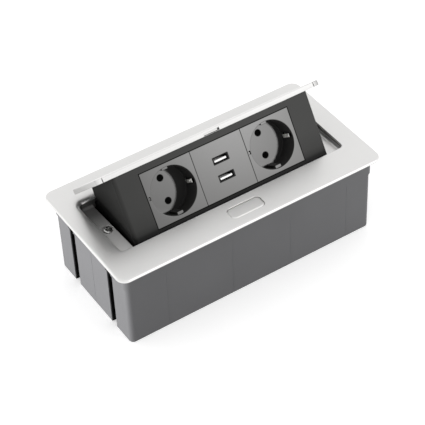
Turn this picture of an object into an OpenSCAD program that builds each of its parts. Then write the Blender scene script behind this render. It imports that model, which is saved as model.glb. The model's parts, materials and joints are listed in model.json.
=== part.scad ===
// Pop-up desk power strip: a sprung socket module that tilts out of a flush desk casing.
// Origin: centre of the casing's base. +X runs along the strip, -Y is the button side, +Z is up.
// The module is drawn shut and then turned about its hinge to the open position.

/* [Bezel] */
// Length of the desk rim
rim_l = 243; // [242:1:248]
// Width of the desk rim
rim_w = 121; // [119:1:126]
// Thickness of the desk rim
rim_t = 2.3; // [2.2:0.1:3]
// Corner radius of the desk rim
rim_r = 8; // [6:0.5:9]
// Depth of the end ledges below the rim at the button side
ledge_front = 2.3; // [2.3:0.1:3]
// Depth of the end ledges below the rim at the hinge side
ledge_rear = 6.2; // [4:0.1:6.4]

/* [Casing] */
// Length of the casing
case_l = 228; // [227.5:0.5:230]
// Width of the casing
case_w = 108; // [107:0.5:109]
// Height of the casing below the rim
case_h = 72.5; // [71:0.5:80]
// Corner radius of the casing
case_r = 4; // [4:0.5:6]
// Wall thickness of the casing
case_wall = 2.5; // [2:0.1:2.6]
// Height of the proud collar at the casing's top
collar_h = 15.5; // [9:0.5:18]
// Distance of the clamp slots from the centre line
slot_y = 28.3; // [27:0.1:29]
// Width of the clamp slots
slot_w = 7.6; // [7.4:0.1:9]

/* [Pop-up module] */
// Angle that the module turns through
open_angle = 44.15; // [44:0.05:44.3]
// Length of the module body
body_l = 178; // [177:0.5:178.5]
// Forward lean of the socket face when shut
face_lean = 11.05; // [10.9:0.05:11.2]
// Length of the lid
lid_l = 205.6; // [204:0.2:206]
// Depth of the lid
lid_w = 58.2; // [57:0.1:58.4]
// Thickness of the lid
lid_t = 4.2; // [4.1:0.1:4.4]
// Corner radius of the lid
lid_r = 3; // [2.5:0.5:4]

/* [Sockets] */
// Side of the square socket plate
plate = 45; // [44.6:0.1:45]
// Distance of each socket from the middle of the face
socket_u = 45.8; // [45.7:0.1:46]
// Radius of the socket well
well_r = 19.5; // [19:0.1:20]
// Depth of the socket well
well_d = 18; // [17:0.5:18.5]
// Spacing of the two pin holes
pin_gap = 19; // [18.8:0.1:19.2]
// Radius of the pin holes
pin_hole_r = 2.75; // [2.5:0.05:3]

/* [USB] */
// Width of the USB plate
usb_w = 46.4; // [46:0.1:46.4]
// Distance of each USB port from the middle of the plate
usb_v = 7.25; // [6.5:0.05:8]

/* [Button] */
// Length of the release button
button_l = 30; // [26:0.5:32]
// Width of the release button
button_w = 12; // [10:0.5:12]
// Travel of the release button
press = 2; // [1.5:0.1:2]

/* [Hidden] */
$fn = 48;
eps = 0.05;            // overlap that joins the pieces of one solid
silver = "#d9d7d5";
graphite = "#68696c";
charcoal = "#3d3d3c";

// Heights below are measured from the rim's underside, at z = case_h.
lid_y = -30.7;         // the shut lid's front edge
lid_z = rim_t - lid_t; // the shut lid's underside
hinge_y = 43.9;
hinge_z = -14.8;
pin_r = 2.5;           // hinge pin
bush_r = 4;
boss_r = 6.5;

// The lid's recess and the window in the rim
recess_x = lid_l / 2 + 1;
recess_front = lid_y - 0.6;
recess_rear = 33.5;
recess_r = 3.8;
window_x = body_l / 2 + 2;
skirt_front = recess_front - 1.1;
skirt_wall = 2;
skirt_d = 8.5;
screw_x = (window_x + recess_x) / 2 - 1.3;
screw_y = 2.5;

// The socket face, when shut
face_y = -24.69;
face_z = -29.61;
face_low = -28;        // the face's bottom edge, measured down the face
front_wall = 3;
end_wall = 2.5;
floor_z = face_z + face_low * cos(face_lean);
rear_y = 24.5;         // the upright part of the module's back
// Back of the module's section, from its low corner up to the lid
back = [[rear_y, floor_z], [rear_y, -30], [27.7, -20], [25.7, -14.4], [21.7, lid_z]];

// Latch
bolt_x = 8;
nose_x = 6.3;
nose_low = -1.05;
nose_top = 0.1;
nose_tip = -29.3;
bolt_low = -6.2;
bolt_top = -4.7;
bolt_front = -46.5;
riser_y = -36.7;       // the bolt's upright, behind the button
riser_t = 2;
button_y = -45;
cap_low = -1.3;
wedge_y = -41;         // the narrow end of the button's wedge
wedge_z = -7.4;
guide_z = -10;
guide_front = -50.6;
guide_rear = -34.9;
guide_screw_x = 22;
guide_screw_y = -42;
spring_x = 13.5;

// Damper gears
gear_m = 1;
sector_teeth = 40;
pinion_teeth = 10;
sector_r = gear_m * sector_teeth / 2;
pinion_r = gear_m * pinion_teeth / 2;
mesh_angle = 225;      // direction from the hinge to the pinion
pinion_y = hinge_y + (sector_r + pinion_r) * cos(mesh_angle);
pinion_z = hinge_z + (sector_r + pinion_r) * sin(mesh_angle);
damper_ear = 11.5;

// Casing features
grommet_x = 70;
grommet_z = -54;
cover_screw_x = 98;
cover_screw_y = 43;
cover_t = 2.5;
channel_d = 6;
cheek_x = body_l / 2 + 4;
cheek_t = 3.5;

// A point of the module's section, v up the socket face and w out of it
function face_point(v, w = 0) = [
    face_y - v * sin(face_lean) - w * cos(face_lean),
    face_z + v * cos(face_lean) - w * sin(face_lean)
];
// Distance up the face at which it reaches a height, w out of the face
function up_to(z, w = 0) = (z - face_z + w * sin(face_lean)) / cos(face_lean);
function unit(v) = v / norm(v);

// ---- Placing ----
module at_rim() translate([0, 0, case_h]) children();
module tilt_open() at_rim() translate([0, hinge_y, hinge_z]) rotate([-open_angle, 0, 0])
    translate([0, -hinge_y, -hinge_z]) children();
// Inside tilt_open: a shape that is given where it lies with the module open
module back_to_shut() translate([0, hinge_y, hinge_z]) rotate([open_angle, 0, 0])
    translate([0, -hinge_y, -hinge_z]) children();
module face_frame() translate([0, face_y, face_z]) rotate([90 + face_lean, 0, 0]) children();
module on_face() tilt_open() face_frame() children();
module both_ends() for (s = [-1, 1]) scale_x(s) children();
module scale_x(s) mirror([s < 0 ? 1 : 0, 0, 0]) children();
// A section drawn in Y and Z, from x0 to x1
module along_x(x0, x1) translate([x0, 0, 0]) rotate([90, 0, 90]) linear_extrude(x1 - x0) children();

// ---- Basic shapes ----
module rounded(l, w, r) {
    square([l - 2 * r, w], center = true);
    square([l, w - 2 * r], center = true);
    for (x = [-1, 1], y = [-1, 1]) translate([x * (l / 2 - r), y * (w / 2 - r)]) circle(r);
}
module slab(l, w, r, z0, z1) translate([0, 0, z0]) linear_extrude(z1 - z0) rounded(l, w, r);
module block(x, y, z) translate([x[0], y[0], z[0]]) cube([x[1] - x[0], y[1] - y[0], z[1] - z[0]]);
module rod_z(x, y, z0, z1, r) translate([x, y, z0]) cylinder(h = z1 - z0, r = r);
module rod_x(x0, x1, y, z, r) translate([x0, y, z]) rotate([0, 90, 0]) cylinder(h = x1 - x0, r = r);
module rod_y(y0, y1, x, z, r) translate([x, y0, z]) rotate([-90, 0, 0]) cylinder(h = y1 - y0, r = r);
// Screw along -Z with its head's underside at z = 0
module screw(head_r, head_h, shank_r, shank_l, cross = true) difference() {
    union() {
        cylinder(h = head_h, r = head_r);
        translate([0, 0, -shank_l]) cylinder(h = shank_l + eps, r = shank_r);
    }
    if (cross) for (a = [0, 90]) rotate(a + 45)
        translate([-head_r * 0.6, -head_r * 0.12, head_h * 0.35])
            cube([head_r * 1.2, head_r * 0.24, head_h]);
}
// Round wire along a path; axis is the coil's axis, and never the path's own direction
module wire(path, r, axis, sides = 8) {
    n = len(path);
    function ahead(i) = unit(path[min(i + 1, n - 1)] - path[max(i - 1, 0)]);
    rings = [for (i = [0:n - 1])
        let (t = ahead(i), s = unit(cross(t, axis)), b = cross(s, t))
        for (k = [0:sides - 1]) path[i] + r * (cos(360 * k / sides) * s + sin(360 * k / sides) * b)];
    faces = [for (i = [0:n - 2], k = [0:sides - 1])
        let (a = i * sides + k, b = i * sides + (k + 1) % sides)
        each [[a, b, b + sides], [a, b + sides, a + sides]]];
    ends = [[for (k = [sides - 1:-1:0]) k], [for (k = [0:sides - 1]) (n - 1) * sides + k]];
    polyhedron(rings, concat(faces, ends));
}
// Compression spring standing on z = 0
module coil(r, wire_r, turns, length) {
    steps = 14;
    rise = (length - 2 * wire_r) / (turns * steps);
    wire([for (i = [0:turns * steps], a = 360 * i / steps) [r * cos(a), r * sin(a), wire_r + i * rise]],
        wire_r, [0, 0, 1]);
}
// Gear teeth as flat-sided wedges from root to tip, one at angle 0 and every pitch on
module teeth(pitch_r, first, last, count) for (i = [first:last]) rotate(360 / count * i)
    polygon([
        [pitch_r - 1.3 * gear_m, -0.95 * gear_m], [pitch_r, -0.64 * gear_m],
        [pitch_r + 0.85 * gear_m, -0.3 * gear_m], [pitch_r + 0.85 * gear_m, 0.3 * gear_m],
        [pitch_r, 0.64 * gear_m], [pitch_r - 1.3 * gear_m, 0.95 * gear_m]
    ]);

// ---- Bezel ----
module recess(l_extra, z0, z1, front = recess_front) {
    w = recess_rear - front;
    translate([0, front + w / 2, 0])
        slab(2 * recess_x + l_extra, w + l_extra, recess_r + l_extra / 2, z0, z1);
}
module bezel() color(silver) at_rim() difference() {
    union() {
        difference() {
            hull() {
                slab(rim_l, rim_w, rim_r, 0, rim_t * 0.55);
                slab(rim_l - 0.8, rim_w - 0.8, rim_r - 0.4, 0, rim_t * 0.85);
                slab(rim_l - 2.2, rim_w - 2.2, rim_r - 1.1, 0, rim_t);
            }
            recess(0, -1, rim_t + 1);
            slab(rim_l - 4.4, rim_w - 4.4, rim_r - 2.2, -1, -0.001);
            seal_ring(0, 0.8);
        }
        // skirt round the recess, and the two end ledges with their sloping floors
        difference() {
            recess(2 * skirt_wall, -skirt_d, eps, skirt_front);
            recess(0, -skirt_d - 1, 1, skirt_front);
            block([-window_x, window_x], [0, rim_w], [-skirt_d - 1, -5.5]);
        }
        both_ends() difference() {
            intersection() {
                recess(1, -skirt_d, 0, skirt_front);
                block([window_x, rim_l], [-rim_w, rim_w], [-skirt_d, 0]);
            }
            along_x(0, rim_l) polygon([
                [skirt_front - 2, rim_t - ledge_front - 2.4], [recess_rear + 2, rim_t - ledge_rear - 2.4],
                [recess_rear + 2, 1], [skirt_front - 2, 1]
            ]);
        }
        for (s = [-1, 1]) {
            rod_z(s * guide_screw_x, guide_screw_y, guide_z, eps, 3.2);
            translate([s * (body_l / 2 - 1.3), 39, -1.5]) cube([2.6, 6, 3.1], center = true);
        }
    }
    for (s = [-1, 1]) {
        rod_z(s * screw_x, screw_y, -6.4, 1, 4.6);
        rod_z(s * screw_x, screw_y, -skirt_d - 1, 0, 2.1);
        rod_z(s * guide_screw_x, guide_screw_y, guide_z - 1, -2, 1.3);
    }
    translate([0, button_y, 0]) slab(button_l + 0.5, button_w + 0.5, 3.75, -1, rim_t + 1);
    block([-nose_x - 0.6, nose_x + 0.6], [-40, skirt_front + 2], [-skirt_d - 1, nose_top + 0.3]);
}
module seal_ring(gap, h) translate([0, 0, -eps * (gap > 0 ? 0 : 1)]) difference() {
    slab(237.6 - gap, 116.8 - gap, 8.5, 0, h);
    slab(228.6 + gap, 110 + gap, 8.5, -1, h + 1);
}
module rim_seal() color("#202020") at_rim() seal_ring(0.1, 0.7);
module bezel_screws() color("#9a9a9a") at_rim()
    for (s = [-1, 1]) translate([s * screw_x, screw_y, -6.4]) screw(3.6, 2.3, 1.75, 16);

// ---- Casing ----
module case_slab(grow, z0, z1) slab(case_l + grow, case_w + grow, case_r + grow / 2, z0, z1);
// The four clamp slots, w wide, from d0 inside the end walls' outer faces to d1 beyond them
module channels(w, d0, d1, z0, z1) both_ends() for (t = [-1, 1])
    block([case_l / 2 - d0, case_l / 2 + d1], [t * slot_y - w / 2, t * slot_y + w / 2], [z0, z1]);
// The casing's walls, cut through at the clamp slots
module case_walls() difference() {
    union() {
        case_slab(0, -case_h, 0);
        case_slab(1.2, -collar_h, 0);
    }
    case_slab(-2 * case_wall, -case_h - 1, 1);
    channels(slot_w, channel_d, 5, -case_h - 1, 1);
}
module walls_within(y) intersection() {
    case_walls();
    block([-case_l, case_l], y, [-case_h - 2, 2]);
}
module casing_front() color(graphite) at_rim() difference() {
    walls_within([-case_w, -slot_y]);
    // relief behind the release button
    block([-18, 18], [-case_w / 2 + case_wall - 0.6, 0], [-6, 1]);
}
module casing_rear() color(graphite) at_rim() difference() {
    walls_within([slot_y, case_w]);
    rod_y(case_w / 2 - 4, case_w / 2 + 1, grommet_x, grommet_z, 7);
}
module casing_ends() color(graphite) at_rim() walls_within([-slot_y, slot_y]);
// Lined channels behind the slots, which join the walls and guide the desk clamps
module clamp_channels() color("#161616") at_rim() difference() {
    union() {
        channels(slot_w + 4.4, channel_d + 1.5, -case_wall - 0.02, -case_h + 0.5, -0.5);
        channels(slot_w - 0.1, channel_d, -0.3, -case_h + 0.5, -0.5);
    }
    channels(slot_w - 1.4, channel_d, 1, -case_h - 1, 1);
}
module casing_posts() color(graphite) at_rim() both_ends() {
    wall_x = case_l / 2 - case_wall;
    // column for the bezel screw, with its rib to the end wall
    difference() {
        union() {
            rod_z(screw_x, screw_y, -34, -skirt_d - 0.1, 4);
            block([screw_x, wall_x], [screw_y - 1.25, screw_y + 1.25], [-34, -skirt_d - 0.1]);
        }
        rod_z(screw_x, screw_y, -35, 0, 1.8);
    }
    for (y = [-1, 1] * cover_screw_y) difference() {
        union() {
            rod_z(cover_screw_x, y, -case_h + cover_t, -52, 4);
            block([cover_screw_x, wall_x], [y - 1.25, y + 1.25], [-case_h + cover_t, -52]);
        }
        rod_z(cover_screw_x, y, -case_h, -54, 1.4);
    }
}
// Cheeks on the rear wall that carry the hinge pins
module hinge_brackets() color(graphite) at_rim() both_ends() difference() {
    block([cheek_x, cheek_x + cheek_t], [hinge_y - 7.5, case_w / 2 - case_wall],
        [hinge_z - 8, hinge_z + 6]);
    rod_x(cheek_x - 1, cheek_x + cheek_t + 1, hinge_y, hinge_z, pin_r + 0.01);
}
// Pad that carries the damper, on the back of a clamp channel
module damper_mount() color(graphite) at_rim() difference() {
    block([cheek_x + 8.2, case_l / 2 - channel_d - 1.52], [pinion_y - 14, pinion_y + 14],
        [pinion_z - 5, pinion_z + 5]);
    for (t = [-1, 1]) rod_x(cheek_x + 7, cheek_x + 13, pinion_y + t * damper_ear, pinion_z, 1.3);
    rod_x(cheek_x + 8, cheek_x + 13, pinion_y, pinion_z, 2.6);
}
module bottom_cover() color(graphite) at_rim() difference() {
    case_slab(-2 * case_wall - 0.5, -case_h, -case_h + cover_t);
    channels(slot_w + 4.9, channel_d + 1.75, 1, -case_h - 1, -case_h + cover_t + 1);
    for (x = [-1, 1], y = [-1, 1]) {
        rod_z(x * cover_screw_x, y * cover_screw_y, -case_h - 1, 0, 1.8);
        rod_z(x * cover_screw_x, y * cover_screw_y, -case_h - 1, -case_h + 1.5, 3.4);
    }
    // vent slots
    for (i = [-6:6]) translate([i * 8, 0, -case_h]) linear_extrude(6, center = true) rounded(3, 50, 1.49);
}
module cover_screws() color("#8c8c8c") at_rim() for (x = [-1, 1], y = [-1, 1])
    translate([x * cover_screw_x, y * cover_screw_y, -case_h + 1.5])
        rotate([180, 0, 0]) screw(3.1, 1.3, 1.35, 12);
// Lead bush in a wall whose outer face is at y = 0; the lead leaves along +Y
module lead_bush(hole_r, wall, tail) rotate([-90, 0, 0]) difference() {
    union() {
        cylinder(h = 0.9, r = hole_r + 2);
        translate([0, 0, -wall - eps]) cylinder(h = wall + 2 * eps, r = hole_r - 0.05);
        translate([0, 0, -wall - 1.4]) cylinder(h = 1.4, r = hole_r + 1.6);
        translate([0, 0, -wall - tail]) cylinder(h = tail, r = hole_r - 1);
    }
    translate([0, 0, -wall - tail - 1]) cylinder(h = wall + tail + 3, r = 4.25);
}
module cable_grommet() color("#1b1b1b") at_rim()
    translate([grommet_x, case_w / 2, grommet_z]) lead_bush(7, case_wall, 5);
module hinge_pins() color("#b9bcc0") at_rim() both_ends() {
    rod_x(body_l / 2 - 6, cheek_x + cheek_t + eps, hinge_y, hinge_z, pin_r);
    rod_x(cheek_x + cheek_t, cheek_x + cheek_t + 1.5, hinge_y, hinge_z, pin_r + 2);
}
module stop_pads() color("#1b1b1b") at_rim()
    for (s = [-1, 1]) translate([s * (body_l / 2 - 1.3), 39, -5.25]) cube([2.4, 5.8, 4.4], center = true);

// ---- Latch and button ----
module latch_guide() color("#242424") at_rim() difference() {
    union() {
        block([-18, 18], [guide_front, guide_rear], [guide_z - 2, guide_z]);
        for (s = [-1, 1]) {
            translate([s * guide_screw_x, guide_screw_y, guide_z - 2]) linear_extrude(2) circle(4.5);
            scale_x(s) block([16, guide_screw_x], [guide_screw_y - 3, guide_screw_y + 3],
                [guide_z - 2, guide_z]);
            scale_x(s) block([bolt_x + 0.3, bolt_x + 3], [guide_front, riser_y], [guide_z - eps, -3.8]);
            scale_x(s) block([5, bolt_x + 0.3 + eps], [guide_front, guide_rear],
                [guide_z - eps, bolt_low - 0.2]);
            rod_z(s * spring_x, button_y, guide_z - eps, -7.6, 3.2);
        }
    }
    for (s = [-1, 1]) rod_z(s * guide_screw_x, guide_screw_y, guide_z - 3, guide_z + 1, 1.7);
}
module guide_screws() color("#8c8c8c") at_rim() for (s = [-1, 1])
    translate([s * guide_screw_x, guide_screw_y, guide_z - 2]) rotate([180, 0, 0]) screw(2.8, 1.6, 1.25, 8);
module button() color(silver) at_rim() {
    translate([0, button_y, 0]) slab(button_l, button_w, 3.5, cap_low, rim_t - 0.1);
    block([-button_l / 2 - 1.6, button_l / 2 + 1.6], [button_y - 4, button_y + 4], [cap_low, -0.15]);
    // wedge that draws the bolt back as the button goes down
    along_x(-3.4, 3.4) polygon([
        [wedge_y + 0.8, cap_low + eps], [wedge_y + 0.8, wedge_z], [wedge_y, wedge_z],
        [wedge_y - 4.8, wedge_z + 4.8], [wedge_y - 4.8, cap_low + eps]
    ]);
}
// The bolt's window has the wedge's 45 degree slope on its button side
module latch_bolt() color("#2c2c2c") at_rim() {
    lean = wedge_y + wedge_z - 0.3;
    difference() {
        block([-bolt_x, bolt_x], [bolt_front, riser_y + riser_t], [bolt_low, bolt_top]);
        along_x(-4, 4) polygon([
            [wedge_y + press + 1.1, bolt_top + 1], [lean - bolt_top - 1, bolt_top + 1],
            [lean - bolt_low + 1, bolt_low - 1], [wedge_y + press + 1.1, bolt_low - 1]
        ]);
    }
    block([-nose_x, nose_x], [riser_y, riser_y + riser_t], [bolt_top - eps, nose_top]);
    block([-nose_x, nose_x], [riser_y, nose_tip], [nose_low, nose_top]);
}
module button_springs() color("#c8c8c8") at_rim()
    for (s = [-1, 1]) translate([s * spring_x, button_y, -7.6]) coil(2.2, 0.3, 4, 7.6 + cap_low);
module bolt_spring() color("#c8c8c8") at_rim()
    translate([0, -case_w / 2 + case_wall, (bolt_low + bolt_top) / 2]) rotate([-90, 0, 0])
        coil(1.3, 0.25, 3, bolt_front + case_w / 2 - case_wall);

// ---- Hinge spring and damper ----
// Torsion spring: a point of its coil, and a point beside it along its own direction
coil_r = 4.6;
coil_steps = 18;
coil_last = 2.5 * coil_steps;
function coil_angle(i) = 200 + 360 * i / coil_steps;
function on_coil(i, along = 0) = [
    -body_l / 2 - 1.1 - 0.85 * i / coil_steps,
    hinge_y + coil_r * cos(coil_angle(i)) - along * sin(coil_angle(i)),
    hinge_z + coil_r * sin(coil_angle(i)) + along * cos(coil_angle(i))
];
module hinge_spring() color("#c8c8c8") at_rim() wire(
    concat([on_coil(0, -11), on_coil(0, -4)], [for (i = [0:coil_last]) on_coil(i)],
        [on_coil(coil_last, 3), on_coil(coil_last, 6)]),
    0.4, [1, 0, 0]);
module damper_body() color("#303030") at_rim() difference() {
    union() {
        rod_x(cheek_x + 0.3, cheek_x + 8.2, pinion_y, pinion_z, 9);
        along_x(cheek_x + 6.4, cheek_x + 8.2) translate([pinion_y, pinion_z]) {
            square([2 * damper_ear, 7], center = true);
            for (t = [-1, 1]) translate([t * damper_ear, 0]) circle(3.5);
        }
    }
    rod_x(cheek_x - 1, cheek_x + 9, pinion_y, pinion_z, 2.05);
    for (t = [-1, 1]) rod_x(cheek_x + 5, cheek_x + 9, pinion_y + t * damper_ear, pinion_z, 1.5);
}
module damper_screws() color("#8c8c8c") at_rim() for (t = [-1, 1])
    translate([cheek_x + 6.4, pinion_y + t * damper_ear, pinion_z])
        rotate([0, -90, 0]) screw(2.4, 1.4, 1.25, 5);
module damper_pinion() color("#e8e4d8") at_rim() translate([body_l / 2 + 0.4, pinion_y, pinion_z]) {
    // half a tooth pitch on from the line to the hinge, so that a gap faces the sector's tooth
    rotate([90, 0, 90]) linear_extrude(2.6) rotate(mesh_angle - 180 + 180 / pinion_teeth) {
        circle(pinion_r - 1.2 * gear_m);
        teeth(pinion_r, 0, pinion_teeth - 1, pinion_teeth);
    }
    rod_x(2.5, 10, 0, 0, 2);
}
module sector_plate() difference() {
    union() {
        intersection() {
            circle(sector_r - 1.15 * gear_m);
            polygon([[0, 0], for (a = [-5.6, -3, 0, 1.8]) 30 * [cos(9 * a), sin(9 * a)]]);
        }
        circle(6.7);
        teeth(sector_r, -5, 1, sector_teeth);
    }
    circle(5.7);
}
module damper_sector() color("#e8e4d8") at_rim() translate([0, hinge_y, hinge_z]) difference() {
    along_x(body_l / 2, body_l / 2 + 2.8) rotate(mesh_angle) sector_plate();
    for (p = sector_screw_at) rod_x(0, 200, p[0], p[1], 1.3);
}
// The sector's two screws, from the hinge, with the module open
sector_screw_at = [for (p = [[11.5, 182], [15, 200]]) p[0] * [cos(p[1]), sin(p[1])]];
module sector_screws() color("#8c8c8c") at_rim() translate([0, hinge_y, hinge_z]) for (p = sector_screw_at)
    translate([body_l / 2 + 2.8, p[0], p[1]]) rotate([0, 90, 0]) screw(2, 0.5, 1.2, 5, false);

// ---- Lid ----
module lid_slab(inset, z0, z1) translate([0, lid_y + lid_w / 2, 0])
    slab(lid_l - 2 * inset, lid_w - 2 * inset, lid_r - min(inset, 3), z0, z1);
module lid_panel() color(silver) tilt_open() difference() {
    lid_slab(0, lid_z, rim_t);
    lid_slab(1.2, lid_z - 1, rim_t - 1.5);
    block([-7, 7], [lid_y - 1, lid_y + 2], [nose_low - 0.25, nose_top + 0.3]);
}
module lid_carrier() color(charcoal) tilt_open() difference() {
    lid_slab(1.3, lid_z, rim_t - 1.6);
    block([-7.5, 7.5], [lid_y - 1, lid_y + 4], [lid_z - 1, rim_t]);
    lid_screw_holes(1.2, lid_z - 1, 0);
}
module lid_screw_holes(r, z0, z1) for (x = [-1, 1], y = [-18, 14]) rod_z(x * 76, y, z0, z1, r);
module lid_screws() color("#8c8c8c") tilt_open() for (x = [-1, 1], y = [-18, 14])
    translate([x * 76, y, lid_z - 2]) rotate([180, 0, 0]) screw(2.6, 1.5, 1.15, 3.6);

// ---- Module body ----
// Side outline of the module under its lid, 1 mm proud of the socket face
function body_section() = concat([[face_point(up_to(lid_z, 1), 1)[0], lid_z],
    [face_point(up_to(floor_z, 1), 1)[0], floor_z]], back);
// A point just inside the hinge boss's rim
function hinge_point(a) = [hinge_y, hinge_z] + (boss_r - 0.2) * [cos(a), sin(a)];
module hinge_arm() {
    polygon([
        [20, -30], [22, -15], back[2], hinge_point(128), hinge_point(180), hinge_point(264),
        [back[1][0], -32]
    ]);
    translate([hinge_y, hinge_z]) circle(boss_r);
}
module cavity() along_x(-body_l / 2 + end_wall, body_l / 2 - end_wall) polygon([
    [face_point(up_to(lid_z - 2, -front_wall), -front_wall)[0], lid_z - 2],
    [face_point(up_to(floor_z + 2.4, -front_wall), -front_wall)[0], floor_z + 2.4],
    [40, floor_z + 2.4], [40, lid_z - 2]
]);
module module_housing() color(charcoal) tilt_open() difference() {
    union() {
        intersection() {
            difference() {
                along_x(-body_l / 2 - 1, body_l / 2 + 1) polygon(body_section());
                cavity();
            }
            // trims the face and the ends, and rounds the upright corners between them
            face_frame() rotate([-90, 0, 0]) linear_extrude(200, center = true)
                translate([0, 60]) rounded(body_l, 120, 3.5);
        }
        both_ends() {
            along_x(body_l / 2 - end_wall, body_l / 2) hinge_arm();
            rod_x(body_l / 2 - 6, body_l / 2, hinge_y, hinge_z, boss_r);
            // blocks that take the rear cover's screws
            block([77.5, body_l / 2 - end_wall + eps], [10, rear_y - 2.3], [floor_z + 2.3, -31]);
        }
    }
    face_frame() translate([0, 0, -4]) linear_extrude(8)
        square([2 * (socket_u + plate / 2) + 0.5, plate + 0.4], center = true);
    both_ends() {
        rod_x(body_l / 2 - 7, body_l / 2 + 1, hinge_y, hinge_z, bush_r + 0.01);
        for (z = [-50, -36]) rod_y(12, rear_y, 82, z, 1.3);
    }
    lid_screw_holes(1.5, lid_z - 3, lid_z + 1);
    for (p = sector_screw_at) back_to_shut()
        rod_x(body_l / 2 - 6, body_l / 2 + 1, hinge_y + p[0], hinge_z + p[1], 1.25);
    // pocket that the bolt's nose drops into when the module is open
    back_to_shut() block([-7, 7], [-32, nose_tip + 0.4], [nose_low - 0.6, nose_top + 0.5]);
}
module rear_cover() color(charcoal) tilt_open() difference() {
    low = floor_z + 2.5;
    high = lid_z - 2.1;
    slope = (back[4][0] - back[3][0]) / (back[4][1] - back[3][1]);
    outer = [
        [rear_y, low], back[1], back[2], back[3], [back[3][0] + slope * (high - back[3][1]), high]
    ];
    along_x(-body_l / 2 + end_wall + 0.1, body_l / 2 - end_wall - 0.1)
        polygon(concat(outer, [for (i = [4:-1:0]) outer[i] - [2.2, 0]]));
    for (x = [-1, 1], z = [-50, -36]) {
        rod_y(rear_y - 4, rear_y + 1, x * 82, z, 1.5);
        rod_y(rear_y - 1, rear_y + 1, x * 82, z, 2.9);
    }
    rod_y(rear_y - 4, rear_y + 1, 60, -42, 6);
    for (i = [-5:5]) block([i * 8 - 1.5, i * 8 + 1.5], [rear_y - 4, rear_y + 1], [-50, -34]);
}
module rear_cover_screws() color("#8c8c8c") tilt_open() for (x = [-1, 1], z = [-50, -36])
    translate([x * 82, rear_y - 1, z]) rotate([-90, 0, 0]) screw(2.6, 0.95, 1.25, 9);
module lead_grommet() color("#1b1b1b") tilt_open() translate([60, rear_y, -42]) lead_bush(6, 2.2, 4);
module hinge_bushes() color("#b89a55") tilt_open() both_ends() difference() {
    union() {
        rod_x(body_l / 2 - 6, body_l / 2 + eps, hinge_y, hinge_z, bush_r);
        rod_x(body_l / 2, body_l / 2 + 0.6, hinge_y, hinge_z, bush_r + 1.4);
    }
    rod_x(body_l / 2 - 7, body_l / 2 + 2, hinge_y, hinge_z, pin_r + 0.05);
}

// ---- Sockets ----
module box_on_face(u, v, w) block(u, v, w);
module socket_insert(side) color("#9b9a98") on_face() translate([side * socket_u, 0, 0]) {
    difference() {
        union() {
            translate([0, 0, -2.4]) linear_extrude(2.4) square(plate, center = true);
            translate([0, 0, -well_d - 2.5]) cylinder(h = well_d + 2, r = well_r + 2.1);
            translate([0, 0, -30]) linear_extrude(30 - well_d - 0.5) square(40, center = true);
        }
        translate([0, 0, -well_d]) cylinder(h = well_d + 1, r = well_r, $fn = 96);
        for (v = [-1, 1] * pin_gap / 2) {
            translate([0, v, -31]) cylinder(h = 20, r = pin_hole_r);
            translate([0, v, -31]) linear_extrude(31 - well_d - 2.5) square([14, 11], center = true);
        }
        // slots for the earth clips
        for (s = [-1, 1]) translate([s * 20, 0, -16.9]) cube([2.4, 4.6, 28.4], center = true);
    }
    // guide ribs in line with the pins
    for (s = [-1, 1]) translate([0, s * (well_r - 0.8), -well_d / 2 - 0.8])
        cube([5.2, 3, well_d - 1.4], center = true);
}
module socket_insert_left() socket_insert(-1);
module socket_insert_right() socket_insert(1);
// U-shaped strip: two sprung legs in the well and a bridge behind it
module earth_clip(side) color("#d8d4c8") on_face() translate([side * socket_u, 0, 0])
    rotate([90, 0, 0]) linear_extrude(3.8, center = true) {
        for (s = [0, 1]) mirror([s, 0]) polygon([
            [19.4, -32.4], [19.4, -14], [17.6, -9], [18.9, -4],
            [19.7, -4], [18.5, -9], [20.2, -14], [20.2, -32.4]
        ]);
        translate([-20.2, -32.4]) square([40.4, 0.8]);
    }
module earth_clip_left() earth_clip(-1);
module earth_clip_right() earth_clip(1);
// Strip behind both sockets with a sleeve for each pin, running on into the terminal block
module busbar(v) color("#c9a24a") on_face() {
    block([-socket_u - 4, 75], [v - 3, v + 3], [-31.3, -30.3]);
    for (s = [-1, 1]) translate([s * socket_u, v, -30.3 - eps]) difference() {
        cylinder(h = 9.3, r = 3.6);
        translate([0, 0, 1]) cylinder(h = 9, r = 2.45);
    }
}
module line_busbar() busbar(pin_gap / 2);
module neutral_busbar() busbar(-pin_gap / 2);
module earth_busbar() color("#c9a24a") on_face() block([-socket_u - 4, 75], [-1.9, 1.9], [-33.4, -32.4]);
module terminal_block() color("#e6e3da") on_face() difference() {
    block([69, 77.2], [-15, 15], [-38, -27]);
    for (v = [-1, 0, 1] * pin_gap / 2) {
        block([68, 76], [v - 3.4, v + 3.4], [-34, -29.8]);
        translate([73, v, -39]) cylinder(h = 6, r = 2.3);
    }
}
module terminal_screws() color("#8c8c8c") on_face() for (v = [-1, 0, 1] * pin_gap / 2)
    translate([73, v, -37.4]) difference() {
        cylinder(h = 3.3, r = 2.1);
        translate([-3, -0.3, -1]) cube([6, 0.6, 1.8]);
    }

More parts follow.
